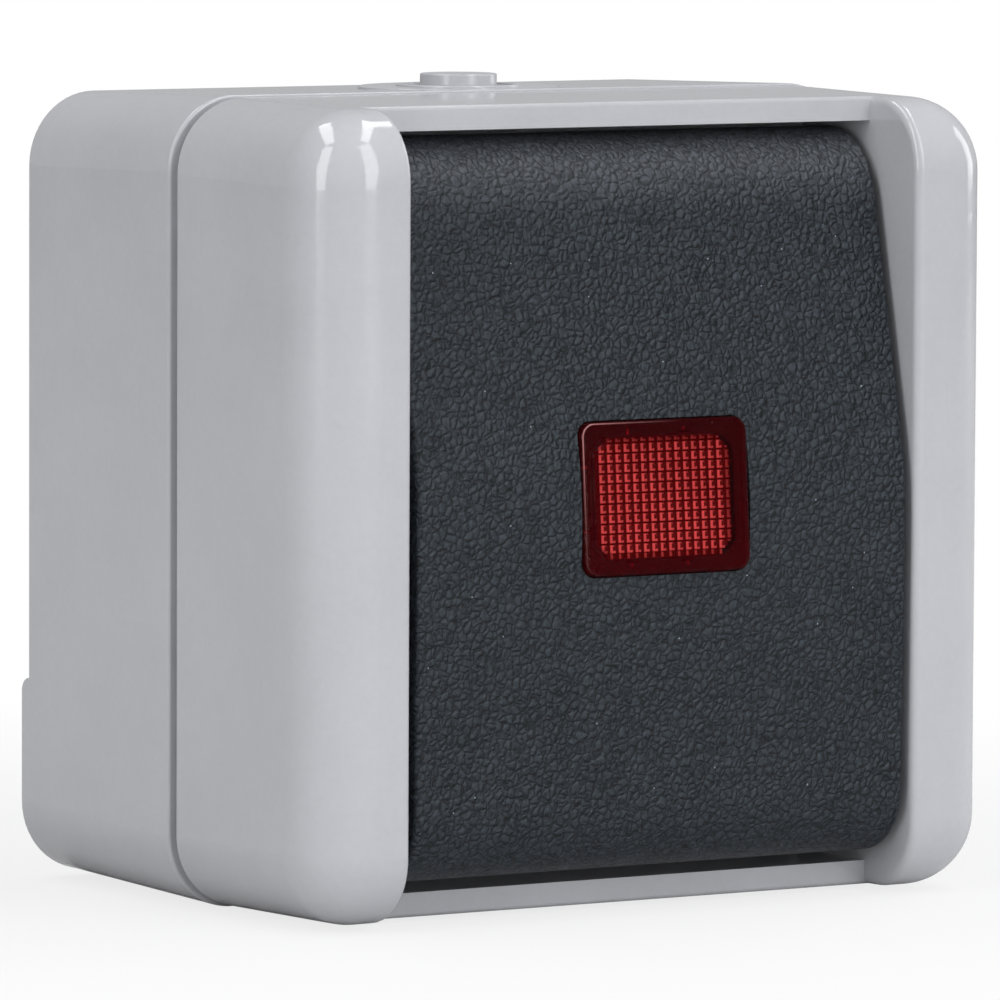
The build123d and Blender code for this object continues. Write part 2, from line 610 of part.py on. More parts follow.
def plunger_spring():
    height = BRIDGE_BOTTOM - INSERT_FLOOR - 2 * SPRING_WIRE_RADIUS
    path = Helix(pitch=height / SPRING_TURNS, height=height, radius=SPRING_RADIUS)
    wire_plane = Plane(origin=path @ 0, z_dir=path % 0)
    coil = sweep(wire_plane * Circle(SPRING_WIRE_RADIUS), path=path)
    return Pos(0, PLUNGER_Y, INSERT_FLOOR + SPRING_WIRE_RADIUS) * coil


def terminal_clamps():
    clamps = []
    low = TERMINAL_Y - CLAMP_HALF_LENGTH
    high = TERMINAL_Y + CLAMP_HALF_LENGTH
    top = INSERT_FLOOR + CLAMP_HEIGHT
    inner = CLAMP_HALF_WIDTH - CLAMP_WALL
    for x in TERMINAL_X:
        cage = block(x - CLAMP_HALF_WIDTH, x + CLAMP_HALF_WIDTH, low, high, INSERT_FLOOR, top)
        cage -= block(x - inner, x + inner, low - 1, high + 1, INSERT_FLOOR + CLAMP_FLOOR, top - CLAMP_ROOF)
        clamps.append(cage - rod(x, TERMINAL_Y, top - CLAMP_ROOF - 1, top + 1, CLAMP_SCREW_RADIUS))
    return Compound(clamps)


def terminal_screws():
    seat = INSERT_FLOOR + CLAMP_HEIGHT
    screws = [slotted_screw(x, TERMINAL_Y, seat, seat - 3.6, 2.3, 1.8, CLAMP_SCREW_RADIUS) for x in TERMINAL_X]
    return Compound(screws)


def lamp_holder():
    half = TOWER_HALF
    tower = block(-half - 1.5, half + 1.5, LAMP_Y - half - 1, LAMP_Y + half + 1, COVER_TOP, COVER_TOP + 1.6)
    tower += block(-half, half, LAMP_Y - half, LAMP_Y + half, COVER_TOP, LAMP_BASE)
    tower += rod(0, LAMP_Y, LAMP_BASE - 1, LAMP_BASE + 2.5, half)
    tower -= rod(0, LAMP_Y, LAMP_BASE, LAMP_BASE + 3, LAMP_RADIUS)
    for x in (-LEAD_X, LEAD_X):
        tower -= rod(x, LAMP_Y, COVER_TOP - 1, LAMP_BASE + 1, 0.8)
    return tower


def glow_lamp():
    bulb = rod(0, LAMP_Y, LAMP_BASE, LAMP_TOP, LAMP_RADIUS)
    crown = bulb.edges().filter_by(GeomType.CIRCLE).group_by(Axis.Z)[-1]
    bulb = fillet(crown, 2.2)
    bulb -= rod(0, LAMP_Y, LAMP_BASE + 1.5, LAMP_TOP - 2.2, LAMP_RADIUS - 0.6)
    for x in (-LEAD_X, LEAD_X):
        bulb -= rod(x, LAMP_Y, LAMP_BASE - 1, LAMP_BASE + 2, LEAD_RADIUS)
    return bulb


def lamp_electrodes():
    top = LAMP_TOP - 3.6
    strip_top = STRIP_BOTTOM + STRIP_THICKNESS
    wires = []
    for side in (-1, 1):
        x = side * LEAD_X
        wires.append(rod(x, LAMP_Y, LEAD_CROSSING, top, LEAD_RADIUS))
    right = wires[1] + rod_along_x(LEAD_X, TERMINAL_X[3], LAMP_Y, LEAD_CROSSING, LEAD_RADIUS)
    right += rod(TERMINAL_X[3], LAMP_Y, strip_top, LEAD_CROSSING, LEAD_RADIUS)
    near, far = RESISTOR_SPAN[1], RESISTOR_SPAN[0]
    left = wires[0] + rod_along_x(near, -LEAD_X, LAMP_Y, LEAD_CROSSING, LEAD_RADIUS)
    beyond = rod_along_x(TERMINAL_X[0], far, LAMP_Y, LEAD_CROSSING, LEAD_RADIUS)
    beyond += rod(TERMINAL_X[0], LAMP_Y, strip_top, LEAD_CROSSING, LEAD_RADIUS)
    return Compound([left, right, beyond])


def lamp_resistor():
    far, near = RESISTOR_SPAN
    body = rod_along_x(far, near, LAMP_Y, LEAD_CROSSING, RESISTOR_RADIUS)
    rims = body.edges().filter_by(GeomType.CIRCLE)
    return fillet(rims, 0.5)


def splash_membrane():
    low = DECK_BOTTOM - 1
    sheet = block(-MEMBRANE_HALF_WIDTH, MEMBRANE_HALF_WIDTH, *MEMBRANE_Y, low, DECK_BOTTOM)
    sheet = fillet(sheet.edges().filter_by(Axis.Z), 3)
    sheet += rod(0, PLUNGER_Y, low - 1.2, low, PLUNGER_RADIUS + 1.8)
    hole = TOWER_HALF + 0.05
    sheet -= block(-hole, hole, LAMP_Y - hole, LAMP_Y + hole, low - 1, DECK_BOTTOM + 1)
    return sheet - rod(0, PLUNGER_Y, low - 3, DECK_BOTTOM + 1, PLUNGER_RADIUS + 0.3)


def earth_terminal():
    top = FLOOR_DEPTH + EARTH_HEIGHT
    middle = sum(EARTH_X) / 2
    body = block(*EARTH_X, *EARTH_Y, FLOOR_DEPTH, top)
    body = fillet(body.edges().filter_by(Axis.Z), 0.6)
    body -= rod_along_y(middle, EARTH_Y[0] - 1, EARTH_Y[1] + 1, FLOOR_DEPTH + 2.6, EARTH_WIRE_RADIUS)
    for y in EARTH_SCREWS_Y:
        body -= rod(middle, y, FLOOR_DEPTH + 3, top + 1, EARTH_SCREW_RADIUS)
    return body


def earth_terminal_screws():
    seat = FLOOR_DEPTH + EARTH_HEIGHT
    middle = sum(EARTH_X) / 2
    screws = [slotted_screw(middle, y, seat, seat - 3, 1.9, 1.4, EARTH_SCREW_RADIUS) for y in EARTH_SCREWS_Y]
    return Compound(screws)


PIECES = {
    "rear_box": rear_box,
    "box_seal": box_seal,
    "front_frame": front_frame,
    "hinge_pins": hinge_pins,
    "push_plate": push_plate,
    "window_lens": window_lens,
    "cable_grommet": cable_grommet,
    "frame_screws": frame_screws,
    "carrier_screws": carrier_screws,
    "wall_seal_washers": wall_seal_washers,
    "carrier_plate": carrier_plate,
    "insert_base": insert_base,
    "insert_cover": insert_cover,
    "insert_rivets": insert_rivets,
    "common_contact": lambda: plunger_contact(-1),
    "switched_contact": lambda: plunger_contact(1),
    "lamp_contact_left": lambda: lamp_contact(-1),
    "lamp_contact_right": lambda: lamp_contact(1),
    "contact_bridge": contact_bridge,
    "plunger": plunger,
    "plunger_spring": plunger_spring,
    "terminal_clamps": terminal_clamps,
    "terminal_screws": terminal_screws,
    "lamp_holder": lamp_holder,
    "glow_lamp": glow_lamp,
    "lamp_electrodes": lamp_electrodes,
    "lamp_resistor": lamp_resistor,
    "splash_membrane": splash_membrane,
    "earth_terminal": earth_terminal,
    "earth_terminal_screws": earth_terminal_screws,
}

os.makedirs("parts", exist_ok=True)
for name, make in PIECES.items():
    export_step(stand_up(make()), f"parts/{name}.step")
    print(name)
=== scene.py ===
"""Looks for a surface-mounted pushbutton switch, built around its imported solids, laid out as an add-on."""

import math

import bpy
import numpy as np
from bpy.props import FloatProperty, FloatVectorProperty, PointerProperty
from mathutils import Matrix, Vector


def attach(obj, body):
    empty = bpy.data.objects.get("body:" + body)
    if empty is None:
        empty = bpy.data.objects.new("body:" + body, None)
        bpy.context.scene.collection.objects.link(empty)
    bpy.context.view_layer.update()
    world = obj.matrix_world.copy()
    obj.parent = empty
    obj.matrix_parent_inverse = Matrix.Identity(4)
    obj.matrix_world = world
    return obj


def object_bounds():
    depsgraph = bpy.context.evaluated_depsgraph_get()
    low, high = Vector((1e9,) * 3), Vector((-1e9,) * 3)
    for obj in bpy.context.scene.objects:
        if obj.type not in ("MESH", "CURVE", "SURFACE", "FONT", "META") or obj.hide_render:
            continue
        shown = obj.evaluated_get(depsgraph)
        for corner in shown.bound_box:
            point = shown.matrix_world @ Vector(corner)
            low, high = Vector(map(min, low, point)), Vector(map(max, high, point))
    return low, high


bl_info = {
    "name": "Pushbutton switch looks",
    "version": (1, 0, 0),
    "blender": (4, 5, 0),
    "location": "View3D > Sidebar > Switch",
    "description": "Builds the looks of a surface-mounted pushbutton switch around its solids",
    "category": "Object",
}

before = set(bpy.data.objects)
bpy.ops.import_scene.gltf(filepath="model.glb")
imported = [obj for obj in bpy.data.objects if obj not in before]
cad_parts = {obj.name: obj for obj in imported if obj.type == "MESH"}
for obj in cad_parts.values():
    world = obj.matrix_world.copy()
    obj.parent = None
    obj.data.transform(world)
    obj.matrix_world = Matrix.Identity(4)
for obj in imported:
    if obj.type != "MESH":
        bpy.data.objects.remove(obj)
CAD_BOUNDS = [list(corner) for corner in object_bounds()]
MM = 0.001

# Casing
PEEL_DEPTH = 0.006 * MM
CLOUDING = 0.04
GROMMET_DULLER = 0.1

# Push plate
# Painted light on the leather grain: how far to the lower right, in grains, the height is read for the paler
# upper left edges
PAINTED_LIGHT_SHIFT = 0.13
CREASE_WIDTH = 0.3
# Painted highlight on the plate's top rounding, standing for the lamps above reflected in it: its colour and
# the heights over which it grows
TOP_HIGHLIGHT_COLOUR = (0.235, 0.245, 0.262)
TOP_HIGHLIGHT_FROM = 26.5 * MM
TOP_HIGHLIGHT_TO = 31.8 * MM
POCKET_HALF = (9.35 * MM, 7.3 * MM)
POCKET_TOP = 1.2 * MM
POCKET_COLOUR = (0.17, 0.0, 0.01)
# Painted glints on the plate: tiny pale flecks, how many to the metre, their size and their colour
PAINTED_GLINTS_PER_METRE = 95.0
PAINTED_GLINT_SIZE = 0.007
PAINTED_GLINT_COLOUR = (0.6, 0.64, 0.68)

# Window, whose centre is so far up and so far out from the wall
LENS_CENTRE = (1.2 * MM, 55.4 * MM)
LENS_TILT = math.radians(4.24)
WINDOW_HALF = (9.2 * MM, 7.175 * MM)
WINDOW_CORNER = 1.4 * MM
# Painted highlight: a pale line this far inside the lens' rounded edge, in this colour
RIM_INSET = 0.19 * MM
PAINTED_RIM_HIGHLIGHT = (0.68, 0.46, 0.46)
BORDER_EDGE = 0.08 * MM
CORNER_CUT = 0.9 * MM
# Painted shade on the ledge behind the lens border: from this depth, this far outside the field, in this dark
# colour
LEDGE_DEPTH = 1.5 * MM
LEDGE_EDGE = 0.25 * MM
LEDGE_PAINTED_SHADE = (0.13, 0.0, 0.0)
LEG_DEPTH = 1.75 * MM
LEG_COLOUR = (0.9, 0.06, 0.12)
RIB_AT = (3.1 * MM, 3.0 * MM)
RIB_HALF = 0.13 * MM
RIB_REACH = 0.85 * MM
RIB_COLOUR = (0.72, 0.05, 0.12)

# Prism field: half its size in cells, and the lines across and up one cell, as shares of it
FIELD_HALF_CELLS = (8, 6)
FACET_LINES_U = np.array([0.0, 0.05, 0.31, 0.52, 0.66])
FACET_LINES_V = np.array([0.0, 0.10, 0.33, 0.76, 0.90])
PRISM_DEPTH = 0.75 * MM
PRISM_RISE = 0.07 * MM
PRISM_DARK = (0.24, 0.0, 0.0)
CORNER_CELLS = 1.5
GLINT = {"left bar": 1.0, "foot": 0.78, "tick": 0.50, "middle": 0.09, "right": 0.06, "groove": 0.03}

# Camera, fitted to a picture 1000 pixels square
FRAME_PIXELS = 1000
FOCAL_PIXELS = 9867.78
PRINCIPAL_POINT = (513.78, 497.98)
VIEW_SHIFT = (0.01461, -0.00283)
WALL_PLANE = 0.0014
SENSOR = 36.0

# Light
BRIGHT_SIDE = (0.75, -0.85, -1.4)
LEAN_SHARE = 0.38
EVEN_SHARE = 0.655
REFLECTED_LEVEL = 0.45
FLOOR_HALF = 4.0
FLOOR_TONES = (0.85, 0.87)
SHADOW_REACH = (0.06, 0.16)
SHADOW_SHARE = 0.22


class Value:
    """A socket that carries a number, so that shader maths is written as an expression."""

    def __init__(self, shader, socket):
        self.shader = shader
        self.socket = socket

    def _maths(self, operation, *inputs):
        return self.shader.maths(operation, *inputs)

    def __add__(self, other):
        return self._maths("ADD", self, other)

    __radd__ = __add__

    def __mul__(self, other):
        return self._maths("MULTIPLY", self, other)

    __rmul__ = __mul__

    def __sub__(self, other):
        return self._maths("SUBTRACT", self, other)

    def __rsub__(self, other):
        return self._maths("SUBTRACT", other, self)

    def __pow__(self, other):
        return self._maths("POWER", self, other)

    def above(self, limit):
        """One where this is more than the limit, and zero elsewhere."""
        return self._maths("GREATER_THAN", self, limit)

    def least(self, other):
        """The smaller of the two."""
        return self._maths("MINIMUM", self, other)

    def most(self, other):
        """The larger of the two."""
        return self._maths("MAXIMUM", self, other)


class Shader:
    """One material with one Principled surface and a short way to add the nodes that feed it."""

    def __init__(self, name):
        self.material = bpy.data.materials.new(name)
        self.material.use_nodes = True
        self.tree = self.material.node_tree
        self.surface = self.tree.nodes["Principled BSDF"]
        self.place = self.node("ShaderNodeTexCoord").outputs["Object"]

    def node(self, kind, settings=(), inputs=()):
        """Adds a node, makes its settings, then fills or links its sockets."""
        made = self.tree.nodes.new(kind)
        for key, value in dict(settings).items():
            setattr(made, key, value)
        for key, value in dict(inputs).items():
            self.feed(made.inputs[key], value)
        return made

    def feed(self, socket, value):
        """Links a socket to another, or sets its own value."""
        if isinstance(value, Value):
            value = value.socket
        if isinstance(value, bpy.types.NodeSocket):
            self.tree.links.new(value, socket)
        else:
            socket.default_value = value

    def maths(self, operation, *inputs):
        """One step of shader maths on sockets or numbers."""
        made = self.node("ShaderNodeMath", {"operation": operation}, enumerate(inputs))
        return Value(self, made.outputs[0])

    def constant(self, **sockets):
        """Sets values that are the same all over the surface on the shader's own sockets."""
        for key, value in sockets.items():
            self.surface.inputs[key.replace("_", " ")].default_value = value

    def stretched(self, scale):
        """Object coordinates times a scale for each axis."""
        made = self.node("ShaderNodeMapping", {}, {"Vector": self.place, "Scale": scale})
        return made.outputs[0]

    def noise(self, scale, detail=3.0, roughness=0.5, vector=None):
        """Noise with scale waves to the metre."""
        inputs = {"Vector": vector or self.place, "Scale": scale, "Detail": detail, "Roughness": roughness}
        return Value(self, self.node("ShaderNodeTexNoise", {}, inputs).outputs[0])

    def cells(self, scale, feature="F1", vector=None):
        """Distance in a pattern of random cells, scale of them to the metre."""
        inputs = {"Vector": vector or self.place, "Scale": scale}
        made = self.node("ShaderNodeTexVoronoi", {"feature": feature}, inputs)
        return Value(self, made.outputs["Distance"])

    def ramp(self, value, low, high):
        """Maps value from low..high to 0..1, held at both ends."""
        inputs = {"Value": value, "From Min": low, "From Max": high}
        made = self.node("ShaderNodeMapRange", {"clamp": True}, inputs)
        return Value(self, made.outputs[0])

    def blend(self, factor, first, second):
        """Mixes two colours, the first at a factor of 0 and the second at 1."""
        made = self.node("ShaderNodeMix", {"data_type": "RGBA"})
        self.feed(made.inputs["Factor"], factor)
        for key, colour in (("A", first), ("B", second)):
            socket = [s for s in made.inputs if s.name == key and s.type == "RGBA"][0]
            self.feed(socket, colour)
        return [s for s in made.outputs if s.type == "RGBA"][0]

    def colour(self, value):
        """Sets or links the surface's colour."""
        self.feed(self.surface.inputs["Base Color"], value)

    def rough(self, value):
        """Sets or links the surface's roughness."""
        self.feed(self.surface.inputs["Roughness"], value)

    def relief(self, height, depth):
        """Bump from a height of 0..1 that stands for depth metres."""
        made = self.node("ShaderNodeBump", {}, {"Height": height, "Distance": depth})
        self.feed(self.surface.inputs["Normal"], made.outputs[0])


def shade(colour, factor=1.0):
    """A colour for a socket from three sRGB values of 0..1, made linear and scaled."""
    linear = [c / 12.92 if c <= 0.04045 else ((c + 0.055) / 1.055) ** 2.4 for c in colour[:3]]
    return (*[c * factor for c in linear], 1.0)


def moulded_plastic(name, colour, roughness):
    """Smooth moulded plastic: faint clouding and a polished surface that is a little uneven."""
    made = Shader(name)
    cloud = made.noise(60.0, 4.0, 0.6)
    fine = made.noise(1400.0, 3.0, 0.6)
    tone = made.ramp(cloud * 0.7 + fine * 0.3, 0.35, 0.65)
    made.colour(made.blend(tone, shade(colour, 1.0 - CLOUDING), shade(colour, 1.0 + CLOUDING)))
    made.rough(made.ramp(cloud + fine * 0.5, 0.3, 1.2) * 0.06 + (roughness - 0.03))
    made.relief(made.noise(420.0, 2.0, 0.5), PEEL_DEPTH)
    made.constant(IOR=1.6)
    return made.material


def soft_plastic(name, colour, roughness=0.5):
    """Matt moulding with a fine spark-eroded texture and a little speckle."""
    made = Shader(name)
    speck = made.noise(2600.0, 4.0, 0.7)
    cloud = made.noise(120.0, 3.0, 0.5)
    tone = made.ramp(speck * 0.5 + cloud * 0.5, 0.36, 0.64)
    made.colour(made.blend(tone, shade(colour, 0.9), shade(colour, 1.08)))
    made.rough(made.ramp(cloud, 0.3, 0.7) * 0.12 + (roughness - 0.06))
    made.relief(speck, 0.00003)
    return made.material


def rubber(name, colour):
    """Dull rubber: slightly blotched, with a bloom that lightens some places."""
    made = Shader(name)
    bloom = made.noise(240.0, 5.0, 0.65)
    made.colour(made.blend(made.ramp(bloom, 0.4, 0.7), shade(colour, 0.85), shade(colour, 1.5)))
    made.rough(made.ramp(bloom, 0.3, 0.7) * 0.15 + 0.62)
    made.relief(made.noise(1800.0, 3.0, 0.6), 0.00004)
    return made.material


def plated_steel(name, colour=(0.74, 0.74, 0.73)):
    """Zinc-plated steel: rolled grain along X, mottled plating and a soft sheen."""
    made = Shader(name)
    grain = made.noise(900.0, 4.0, 0.7, made.stretched((0.12, 1.0, 1.0)))
    mottle = made.cells(700.0)
    tone = made.ramp(grain * 0.6 + mottle * 0.6, 0.3, 0.9)
    made.colour(made.blend(tone, shade(colour, 0.78), shade(colour, 1.08)))
    made.rough(made.ramp(grain, 0.3, 0.7) * 0.18 + 0.24)
    made.relief(grain, 0.00001)
    made.constant(Metallic=1.0)
    return made.material


def stamped_brass(name, colour=(0.80, 0.66, 0.36)):
    """Stamped brass strip: warm metal with darker tarnish in patches and drawn lines."""
    made = Shader(name)
    tarnish = made.noise(260.0, 5.0, 0.65)
    drawn = made.noise(1600.0, 3.0, 0.6, made.stretched((1.0, 1.0, 0.1)))
    dark = shade((colour[0] * 0.72, colour[1] * 0.62, colour[2] * 0.45))
    made.colour(made.blend(made.ramp(tarnish, 0.4, 0.62), dark, shade(colour)))
    made.rough(made.ramp(drawn + tarnish, 0.7, 1.3) * 0.2 + 0.2)
    made.relief(drawn, 0.000008)
    made.constant(Metallic=1.0)
    return made.material


def lamp_glass(name):
    """Thin clear glass, a little smoky in streaks."""
    made = Shader(name)
    streak = made.noise(500.0, 2.0, 0.5)
    smoky, clear = shade((0.9, 0.88, 0.84)), shade((0.97, 0.95, 0.92))
    made.colour(made.blend(made.ramp(streak, 0.4, 0.6), smoky, clear))
    made.rough(made.ramp(streak, 0.3, 0.7) * 0.04 + 0.02)
    made.constant(IOR=1.5, Alpha=0.35)
    return made.material


class CasingLooks(bpy.types.PropertyGroup):
    """Looks of the rear box and the front frame"""

    box_colour: FloatVectorProperty(name="Box colour", description="Colour of the rear box",
                                    subtype="COLOR", default=(0.735, 0.735, 0.752), min=0, max=1)
    frame_colour: FloatVectorProperty(name="Frame colour", description="Colour of the front frame",
                                      subtype="COLOR", default=(0.735, 0.735, 0.752), min=0, max=1)
    gloss: FloatProperty(name="Roughness", description="Roughness of the polished moulding",
                         subtype="FACTOR", default=0.09, min=0, max=1)


class PlateLooks(bpy.types.PropertyGroup):
    """Looks of the push plate"""

    colour: FloatVectorProperty(name="Plate colour", description="Colour of the push plate",
                                subtype="COLOR", default=(0.192, 0.215, 0.238), min=0, max=1)
    grain: FloatProperty(name="Grain size", description="Width of one cell of the leather grain",
                         default=0.00078, unit="LENGTH", precision=5)
    depth: FloatProperty(name="Grain depth", description="Depth of the leather grain", default=0.00016,
                         unit="LENGTH", precision=6)


class LensLooks(bpy.types.PropertyGroup):
    """Looks of the window and its prisms"""

    colour: FloatVectorProperty(name="Lens colour", description="Colour of the clear border",
                                subtype="COLOR", default=(0.25, 0.0, 0.015), min=0, max=1)
    prism_colour: FloatVectorProperty(name="Prism colour", description="Colour of the lit prism faces",
                                      subtype="COLOR", default=(0.86, 0.29, 0.29), min=0, max=1)
    pitch: FloatProperty(name="Prism pitch", description="Distance between two prisms", default=0.000933,
                         unit="LENGTH", precision=6)


class StageLooks(bpy.types.PropertyGroup):
    """Where the camera stands"""

    distance: FloatProperty(name="Camera distance", unit="LENGTH", default=0.96189,
                            description="From the camera to the middle of the wall face")
    azimuth: FloatProperty(name="Azimuth", description="How far round to the left the camera stands",
                           default=math.radians(32.33), subtype="ANGLE")
    elevation: FloatProperty(name="Elevation", description="How far up the camera stands",
                             default=math.radians(4.72), subtype="ANGLE")
    roll: FloatProperty(name="Roll", description="Turn of the camera about its view", subtype="ANGLE",
                        default=math.radians(0.25))


def dress(node, material):
    """Gives a carried-over solid its material."""
    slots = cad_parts[node].data.materials
    slots.clear()
    slots.append(material)


class SWITCH_OT_casing(bpy.types.Operator):
    """Finishes the rear box, the front frame and the cable grommet"""

    bl_idname = "switch.casing"
    bl_label = "Casing"

    def execute(self, context):
        looks = context.scene.switch_casing
        dress("rear_box", moulded_plastic("box grey", looks.box_colour, looks.gloss))
        dress("front_frame", moulded_plastic("frame grey", looks.frame_colour, looks.gloss))
        dull = looks.gloss + GROMMET_DULLER
        dress("cable_grommet", moulded_plastic("grommet grey", looks.frame_colour, dull))
        return {"FINISHED"}


def lens_place(made):
    """Object coordinates turned into places on the window: across, up, and how far in behind its face."""
    turned = made.node("ShaderNodeMapping", {"vector_type": "TEXTURE"},
                       {"Vector": made.place, "Location": (0.0, -LENS_CENTRE[1], LENS_CENTRE[0]),
                        "Rotation": (-LENS_TILT, 0.0, 0.0)})
    apart = made.node("ShaderNodeSeparateXYZ", {}, {0: turned.outputs[0]})
    return [Value(made, apart.outputs[key]) for key in ("X", "Z", "Y")]


def grain_height(made, place, grain):
    """Height of the leather grain at the places of a vector socket, from near 0 in the creases to about 1.3.

    The pebbles are cells whose places are pushed about by noise. Their height rises steeply from the
    creases and levels out, with smaller rounded cells and a finer noise on top.
    """
    push = made.node("ShaderNodeTexNoise", {}, {"Vector": place, "Scale": 0.8 / grain, "Detail": 2.0})
    shifted = made.node("ShaderNodeVectorMath", {"operation": "MULTIPLY_ADD"},
                        {0: push.outputs["Color"], 1: (grain, grain, grain), 2: place})
    crease = made.cells(1.0 / grain, "DISTANCE_TO_EDGE", shifted.outputs[0])
    small = made.cells(1.7 / grain, "SMOOTH_F1", shifted.outputs[0])
    fine = made.noise(3.0 / grain, 3.0, 0.65, shifted.outputs[0])
    return made.ramp(crease, 0.0, CREASE_WIDTH) ** 0.6 * 0.5 + (1 - small) * 0.5 + fine * 0.3


def grained_plastic(name, colour, grain, depth):
    """Anthracite moulding with a leather grain.

    The pebbles' upper left edges are paler than their lower right ones, a painted highlight and painted shade
    as from a lamp
    at the upper left: that tone is the height a little way to the lower right less the height at the place
    itself. Creases are darker and pebble tops paler, painted shade and painted highlight, and a few tiny pale
    flecks are painted glints. The top rounding is paler, a painted highlight that stands for the lamps above
    reflected in it. The walls of the pocket round the window are dark red, as their light has come through
    the window.
    """
    made = Shader(name)
    height = grain_height(made, made.place, grain)
    # Painted highlight and painted shade on the pebbles' edges, as from a lamp at the upper left: the height
    # a little way to the lower right less the height here
    aside = made.node("ShaderNodeVectorMath", {"operation": "ADD"},
                      {0: made.place, 1: (PAINTED_LIGHT_SHIFT * grain, 0.0, -PAINTED_LIGHT_SHIFT * grain)})
    edge = grain_height(made, aside.outputs[0], grain) - height
    fine = made.noise(3.0 / grain, 3.0, 0.65)
    broad = made.noise(0.25 / grain, 3.0, 0.55)
    # Painted shade and painted highlight: darker in the creases, paler on the pebble tops and their upper
    # left edges; the broad noise is the leather's own uneven tone
    tone = made.ramp(height * 0.55 + edge * 1.1 + broad * 0.2, 0.25, 1.05)
    plain = made.blend(tone, shade(colour, 0.15), shade(colour, 1.9))
    # Painted highlight on the top rounding, standing for the lamps above reflected in it: paler towards the
    # top
    painted_top_highlight = made.blend(tone, shade(TOP_HIGHLIGHT_COLOUR, 0.5), shade(TOP_HIGHLIGHT_COLOUR, 2.9))
    parts = made.node("ShaderNodeSeparateXYZ", {}, {0: made.place})
    top_highlight_share = made.ramp(Value(made, parts.outputs["Z"]), TOP_HIGHLIGHT_FROM, TOP_HIGHLIGHT_TO) ** 1.4
    leather = made.blend(top_highlight_share, plain, painted_top_highlight)
    across, up, behind = lens_place(made)
    beyond_u = made.maths("ABSOLUTE", across) - POCKET_HALF[0]
    beyond_v = made.maths("ABSOLUTE", up) - POCKET_HALF[1]
    beyond = beyond_u.most(beyond_v)
    pocket = behind.above(POCKET_TOP) * (1 - beyond.above(0.0))
    leather = made.blend(pocket, leather, shade(POCKET_COLOUR))
    flat = made.node("ShaderNodeMapping", {},
                     {"Vector": made.place, "Rotation": (math.pi / 2, 0.0, 0.0)})
    # Painted glints: a few tiny pale flecks
    dots = made.node("ShaderNodeTexVoronoi", {"voronoi_dimensions": "2D"},
                     {"Vector": flat.outputs[0], "Scale": PAINTED_GLINTS_PER_METRE})
    painted_glint = 1 - Value(made, dots.outputs["Distance"]).above(PAINTED_GLINT_SIZE)
    made.colour(made.blend(painted_glint * 0.8, leather, shade(PAINTED_GLINT_COLOUR)))
    made.rough(made.ramp(fine, 0.3, 0.7) * 0.14 + pocket * 0.5 + 0.32)
    made.relief(height, depth)
    made.constant(IOR=1.3)
    return made.material


class SWITCH_OT_push_plate(bpy.types.Operator):
    """Finishes the grained push plate"""

    bl_idname = "switch.push_plate"
    bl_label = "Push plate"

    def execute(self, context):
        looks = context.scene.switch_plate
        dress("push_plate", grained_plastic("anthracite grain", looks.colour, looks.grain, looks.depth))
        return {"FINISHED"}


def lens_point(u, v, w):
    """Turns places on the window, u across, v up and w out of its face, into the frame of the switch."""
    up = LENS_CENTRE[0] + v * math.cos(LENS_TILT) + w * math.sin(LENS_TILT)
    out = LENS_CENTRE[1] - v * math.sin(LENS_TILT) + w * math.cos(LENS_TILT)
    return np.stack([u, -out, up], axis=-1)


def mesh_piece(name, points, faces, materials, body):
    """Makes a piece from arrays of points and four-sided faces, and lets it ride on a body."""
    mesh = bpy.data.meshes.new(name)
    mesh.from_pydata(points.reshape(-1, 3).tolist(), [], faces.tolist())
    for material in materials:
        mesh.materials.append(material)
    piece = bpy.data.objects.new(name, mesh)
    bpy.context.scene.collection.objects.link(piece)
    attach(piece, body)
    return piece


def grid_faces(rows, columns):
    """Corner numbers of the cells of a grid of points, row by row."""
    first = np.arange(rows - 1)[:, None] * columns + np.arange(columns - 1)[None, :]
    return np.stack([first, first + 1, first + columns + 1, first + columns], axis=-1).reshape(-1, 4)


def prism_lines(half_cells, facet_lines):
    """Places of the facet lines along one side of the field, in cells. The cells start at half numbers."""
    cells = np.arange(-half_cells, half_cells)
    along = (cells[:, None] + 0.5 + facet_lines[None, :]).reshape(-1)
    inside = along[along <= half_cells]
    return np.unique(np.round(np.concatenate([[-half_cells], inside, [half_cells]]), 6))


